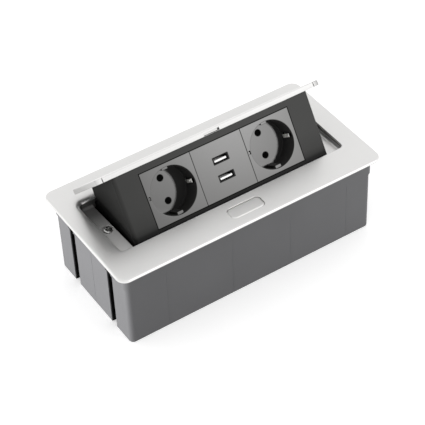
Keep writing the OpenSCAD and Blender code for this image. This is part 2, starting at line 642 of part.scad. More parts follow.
// ---- USB charger ----
module per_port() for (v = [-usb_v, usb_v]) translate([0, v, 0]) children();
module usb_plate() color("#969593") on_face() difference() {
    translate([0, 0, -2.4]) linear_extrude(2.4) square([usb_w, plate], center = true);
    per_port() translate([0, 0, -3]) linear_extrude(4) square([14.4, 5.9], center = true);
}
module usb_shells() color("#1d1d1d") on_face() per_port() difference() {
    translate([0, 0, -14.1]) linear_extrude(13.7) square([14.1, 5.6], center = true);
    translate([0, 0, -13.5]) linear_extrude(20) square([12.7, 4.7], center = true);
}
module usb_tongues() color("white") on_face() per_port()
    translate([0, -0.55, -13.5]) linear_extrude(12) square([11.2, 1.9], center = true);
module usb_housing() color("#202020") on_face() difference() {
    translate([0, 0, -26]) linear_extrude(23.5) square([44.6, 40], center = true);
    translate([0, 0, -24.8]) linear_extrude(26) square([42.2, 37.6], center = true);
}
module usb_board() color("#2f6b3c") on_face()
    translate([0, 0, -15.8]) linear_extrude(1.6) square([41.4, 36.8], center = true);
module usb_transformer() color("#c7b24a") on_face() translate([-9, 4, -24.3])
    linear_extrude(8.5) square([14, 15], center = true);
module usb_capacitor() color("#26323c") on_face() translate([11, -6, -24.3]) cylinder(h = 8.5, r = 4.5);

bezel();
rim_seal();
bezel_screws();
casing_front();
casing_rear();
casing_ends();
clamp_channels();
casing_posts();
hinge_brackets();
damper_mount();
bottom_cover();
cover_screws();
cable_grommet();
hinge_pins();
stop_pads();
latch_guide();
guide_screws();
damper_body();
damper_screws();
damper_pinion();
hinge_spring();
button_springs();
bolt_spring();
button();
latch_bolt();
lid_panel();
lid_carrier();
lid_screws();
module_housing();
rear_cover();
rear_cover_screws();
lead_grommet();
hinge_bushes();
damper_sector();
sector_screws();
socket_insert_left();
socket_insert_right();
earth_clip_left();
earth_clip_right();
line_busbar();
neutral_busbar();
earth_busbar();
terminal_block();
terminal_screws();
usb_plate();
usb_shells();
usb_tongues();
usb_housing();
usb_board();
usb_transformer();
usb_capacitor();
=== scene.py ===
"""Looks of the pop-up desk power strip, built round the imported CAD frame. Shapes are in millimetres."""

import json
import math

import bmesh
import bpy
from mathutils import Euler, Matrix, Vector

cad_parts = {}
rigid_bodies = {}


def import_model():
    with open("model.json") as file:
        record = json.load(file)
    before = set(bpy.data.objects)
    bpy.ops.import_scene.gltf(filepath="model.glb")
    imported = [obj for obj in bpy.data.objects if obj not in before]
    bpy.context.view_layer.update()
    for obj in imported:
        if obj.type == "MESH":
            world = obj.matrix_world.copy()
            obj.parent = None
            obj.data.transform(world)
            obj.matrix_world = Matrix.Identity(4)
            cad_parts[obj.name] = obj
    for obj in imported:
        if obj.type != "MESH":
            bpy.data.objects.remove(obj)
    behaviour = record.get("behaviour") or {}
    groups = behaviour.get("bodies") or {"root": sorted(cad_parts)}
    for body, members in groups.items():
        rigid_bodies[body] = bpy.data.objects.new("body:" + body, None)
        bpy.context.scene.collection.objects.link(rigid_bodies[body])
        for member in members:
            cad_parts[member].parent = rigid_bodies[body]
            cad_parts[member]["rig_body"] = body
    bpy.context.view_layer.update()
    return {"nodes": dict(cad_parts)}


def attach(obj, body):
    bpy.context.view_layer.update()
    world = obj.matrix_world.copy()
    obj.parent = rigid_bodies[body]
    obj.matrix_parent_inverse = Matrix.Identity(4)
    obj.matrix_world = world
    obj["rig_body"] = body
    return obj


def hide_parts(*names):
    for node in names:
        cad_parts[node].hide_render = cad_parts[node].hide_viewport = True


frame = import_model()

# ---- Places: the same ones as in the CAD source ----
MM = 0.001
RIM_Z = 72.5  # the rim's underside above the casing's base
OPEN_ANGLE = math.radians(44.15)
HINGE = Vector((0, 43.9, -14.8))
FACE_LEAN = math.radians(11.05)
FIXED = Matrix.Translation((0, 0, RIM_Z))
OPENED = (
    FIXED @ Matrix.Translation(HINGE) @ Matrix.Rotation(-OPEN_ANGLE, 4, "X") @ Matrix.Translation(-HINGE)
)
FACE = OPENED @ Matrix.Translation((0, -24.69, -29.61)) @ Matrix.Rotation(math.pi / 2 + FACE_LEAN, 4, "X")
BASE = Matrix.Identity(4)


# ---- Mesh tools ----
def loft(loops, ring=False):
    """A mesh through loops of the same number of points; ring joins the last one to the first."""
    bm = bmesh.new()
    rows = [[bm.verts.new(p) for p in loop] for loop in loops]
    pairs = list(zip(rows, rows[1:])) + ([(rows[-1], rows[0])] if ring else [])
    for a, b in pairs:
        for i in range(len(a)):
            j = (i + 1) % len(a)
            bm.faces.new((a[i], a[j], b[j], b[i]))
    if not ring:
        bm.faces.new(list(reversed(rows[0])))
        bm.faces.new(rows[-1])
    bmesh.ops.recalc_face_normals(bm, faces=bm.faces)
    return bm


def rounded(x, y, r, z, arc=8, runs=(1, 1)):
    """A rounded rectangle from x[0] to x[1] and y[0] to y[1]. z is a height or a function of x and y; runs
    are the parts that the straight sides along Y and along X are cut into."""
    corners = [
        (x[1] - r, y[0] + r, -90), (x[1] - r, y[1] - r, 0),
        (x[0] + r, y[1] - r, 90), (x[0] + r, y[0] + r, 180),
    ]
    points = []
    for k, (cx, cy, start) in enumerate(corners):
        for i in range(arc + 1):
            a = math.radians(start + 90 * i / arc)
            points.append((cx + r * math.cos(a), cy + r * math.sin(a)))
        nx, ny, angle = corners[(k + 1) % 4]
        goal = (nx + r * math.cos(math.radians(angle)), ny + r * math.sin(math.radians(angle)))
        here, parts = points[-1], runs[k % 2]
        for i in range(1, parts):
            t = i / parts
            points.append((here[0] + (goal[0] - here[0]) * t, here[1] + (goal[1] - here[1]) * t))
    return [(px, py, z(px, py) if callable(z) else z) for px, py in points]


def circle(r, z, n=64, cx=0.0, cy=0.0):
    turns = [2 * math.pi * i / n for i in range(n)]
    return [(cx + r * math.cos(a), cy + r * math.sin(a), z) for a in turns]


def lathe(profile, n=64, cx=0.0, cy=0.0):
    """A solid of revolution about Z, from (radius, height) pairs."""
    return loft([circle(r, z, n, cx, cy) for r, z in profile])


def block(x, y, z):
    return loft([[(x[0], y[0], h), (x[1], y[0], h), (x[1], y[1], h), (x[0], y[1], h)] for h in z])


def moved(bm, matrix):
    bm.transform(matrix)
    return bm


def evaluated(bm, *modifiers):
    """bm after modifiers, each a type and its settings."""
    mesh = bpy.data.meshes.new("work")
    bm.to_mesh(mesh)
    bm.free()
    o = bpy.data.objects.new("work", mesh)
    bpy.context.scene.collection.objects.link(o)
    for kind, settings in modifiers:
        m = o.modifiers.new(kind, kind)
        for k, v in settings.items():
            setattr(m, k, v)
    done = bpy.data.meshes.new_from_object(o.evaluated_get(bpy.context.evaluated_depsgraph_get()))
    result = bmesh.new()
    result.from_mesh(done)
    bpy.data.objects.remove(o)
    bpy.data.meshes.remove(mesh)
    bpy.data.meshes.remove(done)
    return result


def combine(bm, others, operation="DIFFERENCE"):
    """bm with each of the others cut away or joined on."""
    for other in others:
        mesh = bpy.data.meshes.new("tool")
        other.to_mesh(mesh)
        other.free()
        tool = bpy.data.objects.new("tool", mesh)
        bpy.context.scene.collection.objects.link(tool)
        bm = evaluated(bm, ("BOOLEAN", {"operation": operation, "solver": "EXACT", "object": tool}))
        bpy.data.objects.remove(tool)
        bpy.data.meshes.remove(mesh)
    return bm


def bevelled(bm, width, segments=2, angle=35):
    return evaluated(bm, ("BEVEL", {
        "width": width, "segments": segments, "limit_method": "ANGLE", "angle_limit": math.radians(angle),
        "use_clamp_overlap": True, "miter_outer": "MITER_ARC",
    }))


def joined(*parts):
    """Separate solids in one mesh."""
    result = bmesh.new()
    for part in parts:
        mesh = bpy.data.meshes.new("part")
        part.to_mesh(mesh)
        part.free()
        result.from_mesh(mesh)
        bpy.data.meshes.remove(mesh)
    return result


def piece(name, bm, place, material, body, stands_for=(), smooth=32, weighted=True):
    """Makes the object, in metres in the row frame, with smooth shading up to an angle."""
    bm.transform(Matrix.Scale(MM, 4) @ place)
    mesh = bpy.data.meshes.new(name)
    bmesh.ops.recalc_face_normals(bm, faces=bm.faces)
    bm.to_mesh(mesh)
    bm.free()
    mesh.shade_smooth()
    mesh.set_sharp_from_angle(angle=math.radians(smooth))
    mesh.materials.append(material)
    o = bpy.data.objects.new(name, mesh)
    bpy.context.scene.collection.objects.link(o)
    if weighted:
        m = o.modifiers.new("weighted", "WEIGHTED_NORMAL")
        m.keep_sharp = True
    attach(o, body)
    if stands_for:
        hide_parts(*stands_for)
    return o


def refined(node, material, width):
    """A CAD node's shape with its flat faces merged and, if width isn't 0, its edges rounded."""
    source = frame["nodes"][node]
    bm = bmesh.new()
    bm.from_mesh(source.data)
    bm.transform(Matrix.Scale(1 / MM, 4))
    bmesh.ops.remove_doubles(bm, verts=bm.verts, dist=0.002)
    bmesh.ops.dissolve_limit(bm, angle_limit=math.radians(0.6), verts=bm.verts, edges=bm.edges)
    if width:
        bm = bevelled(bm, width)
    return piece(node + "_fine", bm, BASE, material, source["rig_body"], (node,))


# ---- Materials ----
def shader(name, color, roughness, metallic=0.0, grain=0.0, grain_scale=900.0, tint=0.04, tint_scale=30.0,
           rough_spread=0.05, coat=0.0, specular=0.5):
    """A surface with fine bump grain, broad colour drift and uneven roughness."""
    m = bpy.data.materials.new(name)
    m.use_nodes = True
    nodes, links = m.node_tree.nodes, m.node_tree.links
    bsdf = nodes["Principled BSDF"]
    bsdf.inputs["Metallic"].default_value = metallic
    bsdf.inputs["Coat Weight"].default_value = coat
    bsdf.inputs["Specular IOR Level"].default_value = specular
    place = nodes.new("ShaderNodeTexCoord")
    drift = nodes.new("ShaderNodeTexNoise")
    drift.inputs["Scale"].default_value = tint_scale
    drift.inputs["Detail"].default_value = 5
    ramp = nodes.new("ShaderNodeValToRGB")
    ramp.color_ramp.elements[0].position, ramp.color_ramp.elements[1].position = 0.3, 0.7
    for element, share in zip(ramp.color_ramp.elements, (1 - tint, 1 + tint)):
        element.color = [min(1.0, c * share) for c in color[:3]] + [1]
    links.new(place.outputs["Object"], drift.inputs["Vector"])
    links.new(drift.outputs["Fac"], ramp.inputs["Fac"])
    links.new(ramp.outputs["Color"], bsdf.inputs["Base Color"])
    fine = nodes.new("ShaderNodeTexNoise")
    fine.inputs["Scale"].default_value = grain_scale
    fine.inputs["Detail"].default_value = 3
    links.new(place.outputs["Object"], fine.inputs["Vector"])
    spread = nodes.new("ShaderNodeMapRange")
    spread.inputs["To Min"].default_value = roughness - rough_spread
    spread.inputs["To Max"].default_value = roughness + rough_spread
    links.new(fine.outputs["Fac"], spread.inputs["Value"])
    links.new(spread.outputs["Result"], bsdf.inputs["Roughness"])
    if grain:
        bump = nodes.new("ShaderNodeBump")
        bump.inputs["Strength"].default_value = grain
        bump.inputs["Distance"].default_value = 0.0001
        links.new(fine.outputs["Fac"], bump.inputs["Height"])
        links.new(bump.outputs["Normal"], bsdf.inputs["Normal"])
    return m


def painted_shade_along(material, axis, stops):
    """Paints shade into a material: multiplies its colour by shares along an axis of the row frame, from (mm,
    share) stops.
    """
    nodes, links = material.node_tree.nodes, material.node_tree.links
    bsdf = nodes["Principled BSDF"]
    place, split = nodes.new("ShaderNodeTexCoord"), nodes.new("ShaderNodeSeparateXYZ")
    span, ramp = nodes.new("ShaderNodeMapRange"), nodes.new("ShaderNodeValToRGB")
    mix = nodes.new("ShaderNodeMix")
    low, high = stops[0][0], stops[-1][0]
    span.inputs["From Min"].default_value, span.inputs["From Max"].default_value = low * MM, high * MM
    for k, (at, share) in enumerate(stops):
        position = (at - low) / (high - low)
        element = ramp.color_ramp.elements[0 if k == 0 else -1] if k in (0, len(stops) - 1) else None
        if element is None:
            element = ramp.color_ramp.elements.new(position)
        element.position = position
        element.color = (share, share, share, 1)
    mix.data_type, mix.blend_type = "RGBA", "MULTIPLY"
    mix.inputs["Factor"].default_value = 1
    links.new(place.outputs["Object"], split.inputs["Vector"])
    links.new(split.outputs[axis], span.inputs["Value"])
    links.new(span.outputs["Result"], ramp.inputs["Fac"])
    links.new(bsdf.inputs["Base Color"].links[0].from_socket, mix.inputs[6])
    links.new(ramp.outputs["Color"], mix.inputs[7])
    links.new(mix.outputs[2], bsdf.inputs["Base Color"])
    return material


def satin(name):
    return shader(name, (0.83, 0.825, 0.815), 0.36, metallic=0.85, grain=0.10, grain_scale=2600, tint=0.012)


SILVER = satin("satin_silver")
# Painted shade: the rim's colour is cut to a quarter to a third below about 0.1-0.7 mm above its underside.
# This darkens the recess's walls and the lowest edge of its outside, where they would otherwise catch a glint
# from the edge lamps.
RIM_PAINTED_SHADE = painted_shade_along(
    satin("satin_rim_painted_shade"), "Z",
    ((RIM_Z - 9, 0.25), (RIM_Z + 0.1, 0.3), (RIM_Z + 0.7, 1.0), (RIM_Z + 3, 1.0)),
)
# Painted shade: the lid's colour falls to about 0.55-0.7 over the last few millimetres at each end, standing
# in for the shade and dark reflections at its ends.
LID_PAINTED_SHADE = painted_shade_along(
    satin("satin_lid_painted_shade"), "X",
    ((-104, 0.62), (-102.4, 0.66), (-101.2, 1.0), (97.8, 1.0), (98.8, 0.72), (104, 0.55)),
)
# Painted shade: a darker, less metallic copy of the satin silver for the left ledge only, darkened further
# towards the back, where the module shades it.
LEDGE_PAINTED_SHADE = painted_shade_along(
    shader("satin_ledge_painted_shade", (0.66, 0.655, 0.645), 0.5, metallic=0.45, grain=0.3, grain_scale=1800, tint=0.04),
    "Y", ((-32, 1.0), (-2, 0.85), (14, 0.45), (24, 0.25), (35, 0.2)),
)
CASING = shader(
    "casing_grey", (0.060, 0.060, 0.0625), 0.55, grain=0.18, grain_scale=1500, tint=0.03, specular=0.35,
)
CHARCOAL = shader("charcoal", (0.02, 0.02, 0.0195), 0.5, grain=0.2, grain_scale=1600, tint=0.03, specular=0.2)
# Painted shade: the module's charcoal is darkened to about a tenth towards the bottom of its face, where it
# meets the rim.
SHELL_PAINTED_SHADE = painted_shade_along(
    shader(
        "module_charcoal_painted_shade", (0.034, 0.034, 0.033), 0.55, grain=0.2, grain_scale=1600, tint=0.03, specular=0.06,
    ),
    "Z", ((70, 0.1), (75.5, 0.2), (77.5, 0.6), (81, 0.85), (92, 1.0), (122, 1.0)),
)
PLATE = shader(
    "plate_grey", (0.024, 0.0237, 0.0232), 0.42, grain=0.06, grain_scale=2600, tint=0.015, specular=0.06,
)
BLACK = shader("black_plastic", (0.012, 0.012, 0.012), 0.5, grain=0.1, tint=0.05, specular=0.2)
# Near-black for the pins' shutters and the clamp channels: these are real parts, but their near-black is
# painted shade for the inside of the pin holes and the end slots.
PIT_PAINTED_SHADE = shader("pit_black_painted_shade", (0.003, 0.003, 0.003), 0.8, grain=0.05, tint=0.05, specular=0.05)
RUBBER = shader("rubber", (0.018, 0.018, 0.018), 0.75, grain=0.2, grain_scale=1200, tint=0.08)
ZINC = shader("zinc_steel", (0.62, 0.62, 0.61), 0.28, metallic=1.0, grain=0.08, tint=0.04)
SPRING = shader("spring_steel", (0.55, 0.55, 0.56), 0.25, metallic=1.0, grain=0.05, tint=0.03)
NICKEL = shader("nickel", (0.90, 0.89, 0.86), 0.32, metallic=1.0, grain=0.05, tint=0.03)
BRASS = shader("brass", (0.70, 0.50, 0.20), 0.3, metallic=1.0, grain=0.08, tint=0.05)
BRONZE = shader("bronze", (0.50, 0.34, 0.15), 0.45, metallic=1.0, grain=0.2, tint=0.08)
ACETAL = shader("acetal", (0.78, 0.76, 0.70), 0.38, grain=0.05, tint=0.02)
WHITE = shader("white_plastic", (0.86, 0.86, 0.85), 0.35, grain=0.04, tint=0.01)
CREAM = shader("cream_plastic", (0.72, 0.69, 0.60), 0.45, grain=0.08, tint=0.03)
BOARD = shader("board_green", (0.03, 0.16, 0.06), 0.35, grain=0.1, tint=0.08, coat=0.3)
TAPE = shader("winding_tape", (0.62, 0.48, 0.08), 0.4, grain=0.12, tint=0.06)
SLEEVE = shader("capacitor_sleeve", (0.03, 0.05, 0.09), 0.35, grain=0.05, tint=0.05)

# ---- Bezel ----
RIM_L, RIM_W, RIM_T, RIM_R = 243.0, 121.0, 2.3, 8.0
RECESS_X, RECESS_Y, RECESS_R = 103.8, (-31.3, 33.5), 3.8
LID_X, LID_Y, LID_R = 102.8, (-30.7, 27.5), 3.0
BUTTON_Y, BUTTON_L, BUTTON_W, BUTTON_R = -45.0, 30.0, 12.0, 3.5
ARC, RUNS = 12, (24, 64)  # parts of each corner and of the straight sides along Y and along X


def ease(t):
    """A smooth step from 0 to 1."""
    t = max(0.0, min(1.0, t))
    return t * t * (3 - 2 * t)


def rolled(x, y):
    """How far the recess's edge is rolled over, from 0 at the right and back to 1 round the left ledge."""
    return ease((-x - 93) / 8) * ease((y + 33) / 14)


def rim_loop(inset, z, r):
    x, y = RIM_L / 2 - inset, RIM_W / 2 - inset
    return rounded((-x, x), (-y, y), r, z, ARC, RUNS)


def recess_loop(out, z):
    x, y = RECESS_X + out, (RECESS_Y[0] - out, RECESS_Y[1] + out)
    return rounded((-x, x), y, RECESS_R + out * 0.9, z, ARC, RUNS)


def roll(y):
    """Width and depth of the rolled edge: narrow and deep at the back, wide and shallow to the front."""
    k = ease((26 - y) / 34)
    return 3.2 + 8.0 * k, 2.3 - 1.6 * k


def edge_height(out):
    """Height of the rim's top at a distance outside the recess: sharp in places and rolled over in others."""
    def height(x, y):
        k = rolled(x, y)
        t = max(0.0, 1 - out / 0.6)
        sharp = 0.5 * (1 - math.sqrt(max(0.0, 1 - t * t)))
        width, depth = roll(y)
        soft = depth * max(0.0, 1 - out / width) ** 2.1
        return RIM_T - (1 - k) * sharp - k * soft
    return height


def button_hole_loop(gap, z):
    x, y = BUTTON_L / 2 + gap, BUTTON_W / 2 + gap
    return rounded((-x, x), (BUTTON_Y - y, BUTTON_Y + y), BUTTON_R + gap, z, 10)


# The section runs up the outer edge, over the top to the recess, down its wall and back up behind it.
rim_loops = [rim_loop(inset, z, RIM_R - inset) for inset, z in (
    (0.5, 0.0), (0.15, 0.1), (0.0, 0.35), (0.0, 0.95), (0.08, 1.3), (0.3, 1.7), (0.62, 2.0), (1.05, 2.19),
    (1.6, 2.28), (2.2, 2.3), (5.0, 2.3),
)]
rim_loops += [recess_loop(out, edge_height(out)) for out in (
    10.5, 9, 8, 7, 6, 5, 4.2, 3.4, 2.7, 2.1, 1.6, 1.2, 0.85, 0.6, 0.4, 0.22, 0.1, 0.03, 0,
)]
rim_loops += [recess_loop(0, z) for z in (-1.0, -8.0, -8.5)]
rim_loops += [recess_loop(2, z) for z in (-8.5, -8.0, -0.01)]
hole = loft([button_hole_loop(gap, z) for gap, z in ((0.3, -5), (0.3, 2.2), (0.38, 2.31), (0.38, 4))])
nose_way = block((-6.9, 6.9), (-40, -29.5), (-9.5, 0.4))  # where the latch's nose slides
rim = combine(loft(rim_loops, ring=True), [hole, nose_way])
piece("rim", rim, FIXED, RIM_PAINTED_SHADE, "housing", ("bezel",))

# ---- End ledges and their screws ----
LEDGE_IN, LEDGE_OUT = 91.0, RECESS_X + 0.7
LEDGE_Y = (-32.0, 34.3)
LEDGE_BASE, LEDGE_COVE = -8.4, 2.6
LEDGE_EASE = 0.35  # how far the ledge's inner edge is let down
LEDGE_SLOPE = 3.9 / 69.9
LEDGE_NX, LEDGE_NY = 45, 133  # cells of the ledge's surface
UNDER_LID, LID_ROOM = -2.2, 0.3  # the ledge's top height below the shut lid, and how far round the lid
SCREW_X, SCREW_Y = (LEDGE_IN + RECESS_X) / 2 - 1.3, 2.5
SCREW_SEAT, SCREW_TURN = -6.4, math.radians(17)


def ledge_floor(y):
    return -2.4 - (y + 34.4) * LEDGE_SLOPE


def ledge_height(x, y):
    """The ledge's floor with a cove rising at the recess's walls."""
    centre_x = RECESS_X - RECESS_R
    dx = x - centre_x
    dy = max(y - (RECESS_Y[1] - RECESS_R), RECESS_Y[0] + RECESS_R - y)
    inside = RECESS_R - (math.hypot(max(dx, 0), max(dy, 0)) + min(max(dx, dy), 0))
    share = 1 - min(max(inside, 0.0), LEDGE_COVE) / LEDGE_COVE
    z = ledge_floor(y) + LEDGE_COVE * (1 - math.sqrt(max(0.0, 1 - share * share)))
    if x < LID_X + LID_ROOM and LID_Y[0] - LID_ROOM < y < LID_Y[1] + LID_ROOM:
        z = min(z, UNDER_LID)
    return z


def ledge(side):
    """One end ledge: a sloping floor with a cove at the recess's walls and a hole for its screw."""
    xs = [LEDGE_IN + (LEDGE_OUT - LEDGE_IN) * i / LEDGE_NX for i in range(LEDGE_NX + 1)]
    ys = [LEDGE_Y[0] + (LEDGE_Y[1] - LEDGE_Y[0]) * j / LEDGE_NY for j in range(LEDGE_NY + 1)]
    drops = [LEDGE_EASE] + [0] * LEDGE_NX
    bm = bmesh.new()
    grid = [
        [bm.verts.new((side * x, y, ledge_height(x, y) - drop)) for y in ys]
        for x, drop in zip(xs, drops)
    ]
    bottom = [[bm.verts.new((side * x, y, LEDGE_BASE)) for y in ys] for x in xs]
    for i in range(LEDGE_NX):
        for j in range(LEDGE_NY):
            bm.faces.new((grid[i][j], grid[i + 1][j], grid[i + 1][j + 1], grid[i][j + 1]))
            bm.faces.new((bottom[i][j], bottom[i][j + 1], bottom[i + 1][j + 1], bottom[i + 1][j]))
    for i in range(LEDGE_NX):
        for j in (0, LEDGE_NY):
            bm.faces.new((grid[i][j], bottom[i][j], bottom[i + 1][j], grid[i + 1][j]))
    for j in range(LEDGE_NY):
        for i in (0, LEDGE_NX):
            bm.faces.new((grid[i][j], grid[i][j + 1], bottom[i][j + 1], bottom[i][j]))
    bmesh.ops.recalc_face_normals(bm, faces=bm.faces)
    top = ledge_floor(SCREW_Y)
    profile = [(2.1, -12), (2.1, SCREW_SEAT), (4.6, SCREW_SEAT)]
    profile += [(4.6, top - 0.35), (5.05, top + 0.12), (5.05, 3)]
    return combine(bm, [lathe(profile, 48, side * SCREW_X, SCREW_Y)])


for side, word in ((-1, "left"), (1, "right")):
    # The left ledge gets the silver copy with painted shade, the right ledge the plain silver.
    piece("ledge_" + word, ledge(side), FIXED, LEDGE_PAINTED_SHADE if side < 0 else SILVER, "housing")


def screw(head_r, head_h, shank_r, shank_l):
    """A cross-head screw along -Z, with its head's underside at z = 0."""
    crown = head_h * 0.45
    profile = [(shank_r * 0.6, -shank_l), (shank_r, -shank_l + 0.6), (shank_r, 0)]
    profile += [(head_r * 0.97, 0), (head_r, 0.12), (head_r, head_h - crown)]
    for i in range(1, 7):
        a = math.radians(90 * i / 6)
        profile.append((max(head_r * math.cos(a * 0.93), 0.3), head_h - crown + crown * math.sin(a)))
    body = lathe(profile, 48)
    cross = []
    for a in (45, 135):
        arm = loft([
            [(-head_r * s, -w, z), (head_r * s, -w, z), (head_r * s, w, z), (-head_r * s, w, z)]
            for s, w, z in ((0.3, head_r * 0.06, head_h * 0.25), (0.62, head_r * 0.15, head_h + 0.1))
        ])
        cross.append(moved(arm, Matrix.Rotation(math.radians(a), 4, "Z")))
    return combine(body, cross)


def rim_screw(side):
    at = Matrix.Translation((side * SCREW_X, SCREW_Y, SCREW_SEAT))
    return moved(screw(3.6, 2.3, 1.75, 16), at @ Matrix.Rotation(side * SCREW_TURN, 4, "Z"))


rim_screws = joined(*[rim_screw(side) for side in (-1, 1)])
piece("rim_screws", rim_screws, FIXED, ZINC, "housing", ("bezel_screws",), weighted=False)


# ---- Button ----
def cap_loop(i, z):
    """An outline of the button's cap, whose top falls a little to the back."""
    x, front = BUTTON_L / 2 - i, BUTTON_Y - BUTTON_W / 2
    fall = 0.03 if z > 1 else 0
    span = (front + i, front + BUTTON_W - i)
    return rounded((-x, x), span, BUTTON_R - i, lambda x, y: z - fall * (y - front), 10)


cap = loft([cap_loop(i, z) for i, z in (
    (0, -1.3), (0, 1.3), (0.08, 1.6), (0.28, 1.88), (0.58, 2.08), (0.95, 2.17), (1.4, 2.2),
)])
flange = block((-16.6, 16.6), (BUTTON_Y - 4, BUTTON_Y + 4), (-1.3, -0.15))
wedge = loft([
    [(x, -40.2, -1.3), (x, -40.2, -7.4), (x, -41, -7.4), (x, -45.8, -2.6), (x, -45.8, -1.3)]
    for x in (-3.4, 3.4)
])
cap = combine(cap, [flange, wedge], "UNION")
piece("release_cap", cap, FIXED, SILVER, "release_button", ("button",))


# ---- Lid ----
def lid_loop(i, z):
    return rounded((-LID_X + i, LID_X - i), (LID_Y[0] + i, LID_Y[1] - i), LID_R - min(i, 2.2), z, 12, (6, 24))


lid = loft([lid_loop(i, z) for i, z in (
    (0.3, -1.9), (0.08, -1.82), (0, -1.6), (0, 1.5), (0.06, 1.8), (0.22, 2.05), (0.5, 2.22), (0.9, 2.3),
    (6, 2.3),
)])
hollow = loft([lid_loop(1.2, z) for z in (-3, 0.8)])
pocket_back = block((-8.5, 8.5), (-29.6, -27.0), (-1.9, 1.0))
pocket = bevelled(block((-7, 7), (-33, -28.7), (-1.3, 0.4)), 0.12)
slots = [block((x - 0.35, x + 0.35), (-32, LID_Y[0] + 1.4), (-3, 2.0)) for x in (-97.1, 97.1)]
slots += [block((-7.2, 7.2), (-32, -26.5), (-1.65, -1.15)), block((6.4, 7.3), (-32, -26.5), (-1.5, 0.6))]
lid = combine(lid, [hollow])
lid = combine(lid, [pocket_back], "UNION")
lid = combine(lid, [pocket] + slots)
piece("lid_skin", lid, OPENED, LID_PAINTED_SHADE, "pop_up_module", ("lid_panel",))
inner = combine(loft([lid_loop(i, z) for i, z in ((1.5, -1.9), (1.3, -1.7), (1.3, 0.7))]),
                [block((-9, 9), (-32, -26.7), (-3, 2))])
piece("lid_tray", inner, OPENED, CHARCOAL, "pop_up_module", ("lid_carrier",))

# ---- Module body ----
BODY_X, BACK_X = 89.7, 89.0  # half lengths of the front and of the back
FACE_Y, FACE_Z = -24.69, -29.61
FLOOR_Z = FACE_Z - 28 * math.cos(FACE_LEAN)
BODY_R, SIDE_Y = 2.8, 4
CAVITY_X, ARM_X = 86.5, 89.0
SOCKET_U = 45.8
PLATE_HALF, USB_HALF = 22.5, 23.1
PLATES_U = SOCKET_U + PLATE_HALF + 0.6  # half length of the window for the plates


def face_y_at(z):
    return FACE_Y - (z - FACE_Z) * math.tan(FACE_LEAN)


def body_loop(z, back, i=0.0):
    """The body's outline at a height: square at the back and with two round edges at the front."""
    x, side, front, r = BODY_X - i, BACK_X - i, face_y_at(z) + i, BODY_R
    turns = [math.radians(a) for a in range(0, 91, 9)]
    points = [(-side + 0.5, back - i), (-side, back - i - 0.5), (-side, SIDE_Y)]
    points += [(-x + r - r * math.cos(a), front + r - r * math.sin(a)) for a in turns]
    points += [(x - r + r * math.sin(a), front + r - r * math.cos(a)) for a in turns]
    points += [(side, SIDE_Y), (side, back - i - 0.5), (side - 0.5, back - i)]
    return [(px, py, z) for px, py in points]


def about_hinge(bm, x):
    """Lays a shape that was turned about Z along the hinge's axis, from x on."""
    return moved(bm, Matrix.Translation((x, HINGE.y, HINGE.z)) @ Matrix.Rotation(math.pi / 2, 4, "Y"))


body = loft([body_loop(*level) for level in (
    (FLOOR_Z, 24.5, 0.3), (FLOOR_Z + 0.3, 24.5), (-30, 24.5), (-20, 27.7), (-14.4, 25.7), (-1.9, 21.7),
)])
inside = loft([
    [(-CAVITY_X, face_y_at(z) + 3, z), (CAVITY_X, face_y_at(z) + 3, z), (CAVITY_X, 40, z), (-CAVITY_X, 40, z)]
    for z in (FLOOR_Z + 2.4, -3.9)
])
window = moved(block((-PLATES_U, PLATES_U), (-23.1, 23.1), (-4, 4)), OPENED.inverted() @ FACE)
detent = moved(block((-7, 7), (-34, -28.9), (-1.65, 0.6)), OPENED.inverted() @ FIXED)
body = combine(body, [inside, window, detent])
ARM_OUTLINE = [(20, -30), (22, -15), (25.7, -14.4), (39.9, -9.7), (37.6, -14.8), (43.3, -21.2), (24.5, -32)]
arms, bores = [], []
for s in (-1, 1):
    arms.append(loft([[(x, y, z) for y, z in ARM_OUTLINE] for x in sorted((s * CAVITY_X, s * ARM_X))]))
    arms.append(about_hinge(lathe([(6.5, 0), (6.5, 6)], 48), 83 if s > 0 else -ARM_X))
    bores.append(about_hinge(lathe([(4.01, 0), (4.01, 10)], 48), s * 87 - 5))
body = combine(body, arms, "UNION")
body = combine(body, bores)
piece("module_shell", body, OPENED, SHELL_PAINTED_SHADE, "pop_up_module", ("module_housing",))

# ---- Sockets ----
ROUND = 96  # points round a well
PIN_V = (-9.5, 9.5)


def square_loop(half, z):
    """A square outline with as many points as a well's rim."""
    points = []
    for i in range(ROUND):
        a = 2 * math.pi * i / ROUND
        c, s = math.cos(a), math.sin(a)
        k = half / max(abs(c), abs(s))
        points.append((k * c, k * s, z))
    return points


def socket():
    """A square plate with its well, two guide ribs, two pin holes and the earth contacts' openings."""
    loops = [circle(r, z, ROUND) for r, z in ((21.6, -20.5), (21.6, -2.4))]
    loops += [square_loop(PLATE_HALF - inset, z) for inset, z in (
        (0, -2.4), (0, -0.25), (0.06, -0.1), (0.2, -0.02), (0.4, 0.0),
    )]
    loops += [circle(r, z, ROUND) for r, z in (
        (20.0, 0.0), (19.8, -0.03), (19.62, -0.13), (19.52, -0.3), (19.5, -0.6), (19.4, -9), (19.3, -17.0),
        (19.15, -17.5), (18.8, -17.85), (18.3, -18), (14, -18), (8, -18), (3, -18),
    )]
    bm = loft(loops)
    ribs = [block((-2.6, 2.6), sorted((s * 17.2, s * 20.4)), (-19, -2.6)) for s in (-1, 1)]
    bm = combine(bm, [bevelled(rib, 0.35, 3) for rib in ribs], "UNION")
    cuts = [lathe([(2.75, -24), (2.75, -18.3), (3.05, -17.98), (3.05, -17)], 40, 0, v) for v in PIN_V]
    cuts += [block(sorted((s * 18.0, s * 23)), (-1.9, 1.9), (-17.6, -2.0)) for s in (-1, 1)]
    cuts.append(block((-21.5, -19.95), (0.3, 3.3), (-9, 1)))
    return combine(bm, cuts)


